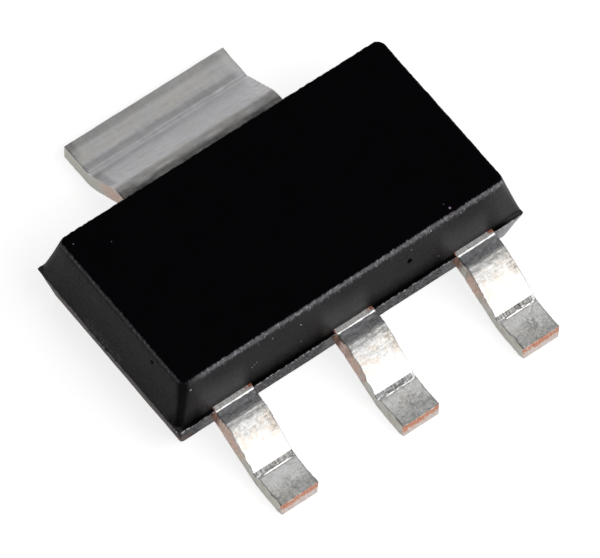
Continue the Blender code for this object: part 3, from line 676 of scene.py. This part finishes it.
def body_rings():
    """Rings from the underside's middle, up the two drafted sides, to the middle of the top.

    On a side the inset is the step from the parting plane times the draft's tangent.
    """
    rows = []
    length, width = HALF_LENGTH + GROWTH, HALF_WIDTH + GROWTH
    foot = (STRIP_TOP - BOTTOM) * math.tan(LOWER_DRAFT)
    insets, depths = fillet(LOWER_ROUND, LOWER_DRAFT, 5)
    flat_length, flat_width = length - foot - insets[0], width - foot - insets[0]
    for inward in np.linspace(flat_width, 0.0, 30)[:-1]:
        left = 1.0 - inward / flat_width
        rows.append((flat_length - inward, flat_width - inward, 0.04 * left, SHIFT, BOTTOM))
    for inset, depth in zip(insets, depths):
        rows.append((length - foot - inset, width - foot - inset, LOWER_CORNER, SHIFT, BOTTOM + depth))
    for height in np.linspace(BOTTOM + depths[-1] + 0.02, STRIP_TOP - 0.02, 22):
        inset = (STRIP_TOP - height) * math.tan(LOWER_DRAFT)
        rows.append((length - inset, width - inset, LOWER_CORNER, SHIFT, height))
    for inset, drop in ((0.001, 0.009), (0.004, 0.003), (0.010, 0.0), (0.022, 0.0), (0.034, 0.0)):
        rows.append((length - inset, width - inset, LOWER_CORNER + inset, SHIFT, STRIP_TOP - drop))
    rows.append((HALF_LENGTH + 0.004, HALF_WIDTH + 0.004, UPPER_CORNER, SHIFT * 0.2, STRIP_TOP, 0.05))
    rise = TOP - STRIP_TOP
    insets, depths = fillet(UPPER_ROUND, UPPER_DRAFT, 8)
    for height in np.concatenate([[0.004, 0.012], np.linspace(0.03, rise - depths[-1] - 0.02, 34)]):
        inset = height * math.tan(UPPER_DRAFT)
        sharper = 0.05 + 0.10 * min(1.0, height / 0.6)
        rows.append((HALF_LENGTH - inset, HALF_WIDTH - inset, UPPER_CORNER, 0.0, STRIP_TOP + height,
                     sharper))
    shoulder = rise * math.tan(UPPER_DRAFT)
    for inset, depth in zip(insets[::-1], depths[::-1]):
        inset = shoulder + inset
        rows.append((HALF_LENGTH - inset, HALF_WIDTH - inset, UPPER_CORNER, 0.0, TOP - depth))
    flat_width = HALF_WIDTH - shoulder - insets[0]
    for inward in (0.012, 0.026, 0.042, 0.062, 0.09, 0.14, 0.24, 0.5, 1.0, flat_width):
        inset = shoulder + insets[0] + inward
        left = 1.0 - inward / flat_width
        rows.append((HALF_LENGTH - inset, HALF_WIDTH - inset, UPPER_CORNER * left, 0.0, TOP))
    return np.stack([ring(*row) for row in rows])


# Open bubbles: their place, width and depth. Light grains: their place on a face, and their size.
PITS = (((-3.11, -0.88, 1.40), 0.026, 0.045), ((1.17, -1.684, 1.20), 0.034, 0.045))
FRONT_GRAINS = ((-0.88, 1.32, 0.017), (-1.40, 1.41, 0.015), (-2.94, 1.43, 0.020), (1.62, 1.54, 0.018),
                (1.23, 1.41, 0.014), (1.68, 0.93, 0.012), (2.19, 1.52, 0.016), (-1.84, 1.09, 0.013),
                (-1.79, 1.11, 0.013), (-1.74, 1.13, 0.012), (-0.93, 0.98, 0.012))
TOP_GRAINS = ((-2.91, 1.39, 0.012), (-2.42, 1.08, 0.010), (2.07, -1.49, 0.022), (2.03, -1.38, 0.010))


def on_front(across, height):
    """The point of the front side at this place along the row of leads and this height."""
    return across, -(HALF_WIDTH - (height - STRIP_TOP) * math.tan(UPPER_DRAFT)), height


def moulded_skin():
    """The body's skin: rings joined by quads, roughened along each point's normal, and its marks.

    A normal is the cross product of the steps along the ring and up to the next one.
    """
    rings = body_rings()
    above = rings[..., 2] - STRIP_TOP
    flare = smooth(-rings[..., 0], 3.0, 3.1) * np.clip(1.0 - above / 0.50, 0.0, 1.0) ** 2 * (above > -0.001)
    rings[..., 0] -= flare * np.clip(3.31 + rings[..., 0] - above * 0.22, 0.0, 0.050)
    count, around = rings.shape[:2]
    along = np.roll(rings, -1, axis=1) - np.roll(rings, 1, axis=1)
    up = np.gradient(rings, axis=0)
    normal = np.cross(along, up)
    size = np.linalg.norm(normal, axis=2, keepdims=True)
    normal = np.where(size > 1e-12, normal / np.maximum(size, 1e-12), 0.0).reshape(-1, 3)
    points = rings.reshape(-1, 3)
    x, y, z = points.T
    inset = np.maximum(TOP - z, 0.0)
    edge_x = HALF_LENGTH - RIM_INSET - np.abs(x)
    edge_y = HALF_WIDTH - RIM_INSET - np.abs(y)
    from_edge = np.maximum(np.minimum(edge_x, edge_y), 0.0)
    rim = np.exp(-(inset / 0.115) ** 2 - (from_edge / 0.035) ** 2)
    lip = smooth(z, 0.60, 0.72) * smooth(-normal[:, 2], -0.97, -0.8) * (z < STRIP_TOP + 0.001)
    ledge = np.exp(-((z - STRIP_TOP) / 0.014) ** 2) * smooth(normal[:, 2], 0.1, 0.7) * smooth(x, -3.22, -3.15)
    ledge *= smooth(-x, -3.05, -2.85)
    corner = smooth(normal[:, 0] * normal[:, 1], 0.12, 0.40) * (z < TOP - 0.01) * (x < 0)
    scar = smooth(-x, 3.05, 3.12) * smooth(y, -0.36, -0.30) * smooth(-y, -0.60, -0.54)
    scar *= smooth(z, 0.38, 0.43) * smooth(-z, -0.95, -0.78)
    height = 0.0015 * cloud(points, 0.045, 5) + 0.003 * cloud(points, 0.3, 6)
    height *= smooth(z, 0.0, 0.1)
    height += 0.007 * rim * cloud(points, 0.034, 7) - 0.004 * rim
    height += 0.009 * lip * cloud(points, 0.05, 8) + 0.004 * lip * cloud(points, 0.022, 9)
    torn = 0.010 * (z < STRIP_TOP) + 0.012 * cloud(points, 0.05, 10) + 0.006 * cloud(points, 0.02, 11)
    height += scar * torn
    for spot in EJECTOR_SPOTS:
        round_mark = smooth(-np.hypot(x - spot + SHIFT, y + SHIFT), -0.40, -0.37) * (z < BOTTOM + 0.001)
        height -= EJECTOR_DEPTH * round_mark
    for place, width, depth in PITS:
        height -= depth * np.exp(-(np.linalg.norm(points - place, axis=1) / width) ** 2)
    points = points + normal * height[:, None]
    index = np.arange(count * around).reshape(count, around)
    after = np.roll(index, -1, axis=1)
    quads = np.stack([index[:-1], after[:-1], after[1:], index[1:]], axis=2).reshape(-1, 4)
    marks = {"rim": rim, "scar": scar, "ledge": ledge, "lip": lip, "corner": corner}
    return points, quads, marks


def black_moulding():
    """Filled epoxy: dead black and matt on top, with a satin skin on the drafted sides, and painted shade and
    glints.
    """
    epoxy = Finish("black_moulding_finish", {"Specular IOR Level": 0.02, "Coat Roughness": 0.36,
                                             "Coat IOR": 1.5})

    def away_from(spot):
        """The distance from a spot, in millimetres."""
        return epoxy.node("ShaderNodeVectorMath", {"operation": "DISTANCE"}, {0: epoxy.place, 1: spot}, 1)

    rim = epoxy.attribute("rim")
    scar = epoxy.attribute("scar")
    ledge = epoxy.attribute("ledge")
    lip = epoxy.attribute("lip")
    corner = epoxy.attribute("corner")
    grain = epoxy.noise(0.026, 3.0)
    coarse = epoxy.noise(0.050, 2.0, shift=7.0)
    cloudy = epoxy.noise(0.5, 3.0, shift=5.0)
    ticks = epoxy.noise(0.019, 1.0, (1.0, 4.0, 4.0), shift=4.0)
    top = epoxy.z.rise(1.585, 1.612)
    front = epoxy.y.fall(-1.58, -1.48)
    end = epoxy.x.fall(-3.04, -3.00)
    near_lead = sum((epoxy.x - centre).band(-0.42, 0.22, 0.20) for centre in (-LEAD_PITCH, 0.0, LEAD_PITCH))
    # A painted reflection of the leads: the front side lighter low down over each lead, in colour and coat.
    lead_reflection = near_lead * epoxy.z.fall(1.06, 1.44) * front
    # Painted shade: the front side darker low down towards the ledge, less over the leads, not at the right
    # end.
    dim = epoxy.z.fall(0.80, 1.08) * front * (1.0 - near_lead * 0.85) * epoxy.x.fall(2.55, 2.95)
    shaded = epoxy.x.fall(-3.06, -2.80) * epoxy.y.fall(-1.62, -1.38) * epoxy.z.rise(1.00, 1.58)
    # The right end of the front side gets a painted highlight: a stronger coat and more of the rim's glint.
    right_end = epoxy.x.rise(2.55, 3.05) * front
    side_level = 0.0085 + (cloudy - 0.5) * 0.004 + (grain - 0.5) * 0.018 + end * 0.005
    level = side_level - top * (side_level - 0.0012 - grain * 0.0008 - cloudy * 0.0006)
    level = level + lead_reflection * 0.010 - dim * 0.005
    # Wear along the top edge, and a painted glint where the rounded edge catches the front lamp.
    wear_and_rim_glint = (rim + (ticks - 0.5) * 1.1 + (coarse - 0.5) * 0.5).rise(0.40, 0.98)
    wear_and_rim_glint = wear_and_rim_glint * front * epoxy.x.rise(-3.10, -2.50) * (1.1 + right_end * 0.4)
    wear_and_rim_glint = wear_and_rim_glint + (rim + (coarse - 0.5) * 0.5).rise(0.75, 1.0) * (1.0 - front) * 0.3
    left_rim = epoxy.x.fall(-3.00, -2.96) * epoxy.z.rise(1.565, 1.585) * (1.0 - front)
    wear_and_rim_glint = wear_and_rim_glint + (rim + (coarse - 0.5) * 0.6).rise(0.50, 0.85) * left_rim * 0.13
    level = level + wear_and_rim_glint * (0.12 + coarse.rise(0.5, 0.7) * 0.14)
    # The lower mould half is painted lighter, a painted reflection of the sheet at a grazing view, with light
    # flecks near the front; lighter still at its right end, a painted highlight.
    lower = epoxy.z.fall(0.745, 0.760)
    near_front = epoxy.y.fall(-1.58, -1.50)
    flecks = (coarse * 0.6 + grain * 0.4).rise(0.50, 0.62) * near_front
    level = level + lower * (0.050 + (grain - 0.5) * (0.12 + near_front * 0.2) + flecks * 0.16)
    level = level + lower * epoxy.x.rise(2.4, 3.2) * near_front * 0.26
    level = level + epoxy.z.band(0.70, 0.76, 0.03) * epoxy.x.fall(-3.24, -3.20) * 0.03
    # Painted glints along the lip under the ledge, brighter at the front.
    level = level + lip * coarse.rise(0.50, 0.64) * (0.12 + front * 0.43)
    level = level + scar * grain.rise(0.42, 0.62) * 0.05
    # Painted shade on the rounded left corners, and on the ledge's top, which mirrors the dark wall above it.
    level = level * (1.0 - corner * 0.5) * (1.0 - ledge * 0.8)
    # Painted shade in the open bubbles.
    open_pit = 0.0
    for spot, width, _ in PITS:
        open_pit = open_pit + (away_from(spot) + (grain - 0.5) * 0.02).fall(width, width * 1.6)
    level = level * (1.0 - open_pit)
    shown = [(on_front(across, height), size) for across, height, size in FRONT_GRAINS]
    shown += [((across, along, TOP), size) for across, along, size in TOP_GRAINS]
    for spot, size in shown:
        ragged = away_from(spot) + (grain - 0.5) * size
        level = level + ragged.fall(size * 0.4, size * 1.1) * (size * 22)
    violet = top * wear_and_rim_glint.fall(0.0, 0.1)
    red = level * (1.01 + violet * 0.12)
    green = level * (0.97 - violet * 0.15)
    blue = level * (1.06 + violet * 0.18)
    grey = epoxy.node("ShaderNodeCombineColor", {}, {0: red, 1: green, 2: blue})
    warm = (epoxy.z + (cloudy - 0.5) * 0.3).fall(0.32, 0.46) * epoxy.x.fall(-3.02, -2.94)
    pinkish = epoxy.blend(coarse.rise(0.3, 0.7), (0.16, 0.11, 0.085), (0.23, 0.18, 0.155))
    colour = epoxy.blend(warm * 0.8, grey, pinkish)
    # Coat weight: a satin skin, which also carries the painted reflection, highlight and shade above.
    satin = 0.47 + front * 0.03 + right_end * 0.48 - end * 0.17 + end * epoxy.y.rise(1.20, 1.50) * 0.09
    satin = satin * (1.0 - dim * 0.60) * (1.0 - shaded * 0.85) + lead_reflection * 0.26
    satin = satin * (1.0 - epoxy.z.band(1.52, 1.54, 0.025) * end * 0.4)
    satin = satin + (coarse - 0.5) * 0.22 + (grain - 0.5) * 0.36
    coat = satin * (1.0 - top) * (1.0 - corner * 0.9) * (1.0 - ledge * 0.95) * (1.0 - open_pit)
    epoxy.feed(epoxy.shader.inputs["Coat Weight"], coat)
    roughness = 0.75 + (grain - 0.5) * 0.3
    return epoxy.finish(colour, roughness, None, epoxy.bump(grain + cloudy * 0.4, 0.003))


skin, skin_faces, skin_marks = moulded_skin()
body = add_piece("moulded_body_skin", skin, skin_faces, black_moulding(), skin_marks)
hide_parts("moulded_body")
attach(body, "root")

# Floor, backdrop and lamps.
# A white sheet under plain studio light: one large soft lamp in front and above, a weaker one
# behind and above, and one at the left. The sheet keeps a faint shadow. What shines mirrors only
# MIRRORED of the extra white that the camera sees, because the part was in grey surroundings.
MIRRORED = 0.35
SHEET_REACH = 0.5
LAMP_DISTANCE = 0.4


def sees_white(nodes):
    """1 for the camera, a share for what metal, gloss and glass mirror, and 0 for matt surfaces."""
    camera, glossy, glass = (nodes.node("ShaderNodeLightPath", {}, {}, name)
                             for name in ("Is Camera Ray", "Is Glossy Ray", "Is Transmission Ray"))
    return camera.maths("MAXIMUM", camera, glossy.maths("MAXIMUM", glossy, glass) * MIRRORED)


sheet_mesh = bpy.data.meshes.new("white_sheet")
sheet_corners = [(x * SHEET_REACH, y * SHEET_REACH, 0.0) for x, y in ((-1, -1), (1, -1), (1, 1), (-1, 1))]
sheet_mesh.from_pydata(sheet_corners, [], [(0, 1, 2, 3)])
sheet = bpy.data.objects.new("white_sheet", sheet_mesh)
bpy.context.scene.collection.objects.link(sheet)
paper = Finish("white_sheet_finish", {"Base Color": (0.5, 0.5, 0.5, 1.0), "Roughness": 1.0,
                                      "Specular IOR Level": 0.0, "Emission Color": (1.0, 1.0, 1.0, 1.0)})
paper.feed(paper.shader.inputs["Emission Strength"], 0.22 + sees_white(paper) * 0.56)
sheet_mesh.materials.append(paper.material)

world = bpy.data.worlds.new("studio")
bpy.context.scene.world = world
world.use_nodes = True
sky = Nodes(world.node_tree)
direction = sky.node("ShaderNodeTexCoord", {}, {}, "Generated")
upward = sky.node("ShaderNodeSeparateXYZ", {}, {0: direction}, 2)
room = sky.node("ShaderNodeMapRange", {}, {"Value": upward, "From Min": 0.10, "From Max": 0.45,
                                           "To Min": 0.55, "To Max": 0.10})
backdrop = sees_white(sky) * upward.fall(0.08, 0.20)
background = sky.tree.nodes["Background"]
sky.feed(background.inputs["Strength"], room.maths("MAXIMUM", room, backdrop))
sky.feed(background.inputs["Color"], (1.0, 1.0, 1.0, 1.0))

for name, towards, radiance, width in (("front_lamp", (0.32, -0.62, 0.72), 2.3, 0.44),
                                       ("back_lamp", (0.318, 0.46, 0.83), 0.62, 0.24),
                                       ("left_lamp", (-0.80, -0.20, 0.55), 1.0, 0.20)):
    lamp = bpy.data.lights.new(name, "AREA")
    lamp.shape = "DISK"
    lamp.size = width
    lamp.energy = radiance * math.pi * math.pi * (width / 2) ** 2
    holder = bpy.data.objects.new(name, lamp)
    away = Vector(towards).normalized()
    holder.location = away * LAMP_DISTANCE
    holder.rotation_euler = away.to_track_quat("Z", "Y").to_euler()
    bpy.context.scene.collection.objects.link(holder)

# Camera.
# A long lens from the left front and above, as the photograph was taken.
LOOKED_AT = Vector((0.0, 0.0, 0.0008))
DISTANCE = 0.13909
MOVED_RIGHT = 0.0002825
MOVED_DOWN = 0.0006323
SENSOR_WIDTH = 36.0
PICTURE_WIDTH = 600
FOCAL_PIXELS = 9115.3
azimuth, elevation, roll = (math.radians(angle) for angle in (-38.2345, 59.0578, 1.5525))
level_right = Vector((math.cos(azimuth), math.sin(azimuth), 0.0))
level_up = Vector((-math.sin(azimuth) * math.sin(elevation), math.cos(azimuth) * math.sin(elevation),
                   math.cos(elevation)))
back = level_right.cross(level_up)
right = math.cos(roll) * level_right + math.sin(roll) * level_up
up = -math.sin(roll) * level_right + math.cos(roll) * level_up
camera = bpy.data.objects.new("camera", bpy.data.cameras.new("camera"))
bpy.context.scene.collection.objects.link(camera)
spot = LOOKED_AT + back * DISTANCE + right * MOVED_RIGHT - up * MOVED_DOWN
camera.matrix_world = Matrix.Translation(spot) @ Matrix((right, up, back)).transposed().to_4x4()
camera.data.sensor_width = SENSOR_WIDTH
camera.data.lens = SENSOR_WIDTH * FOCAL_PIXELS / PICTURE_WIDTH
camera.data.clip_start = 0.001
bpy.context.scene.camera = camera
bpy.context.scene.view_settings.view_transform = "Standard"
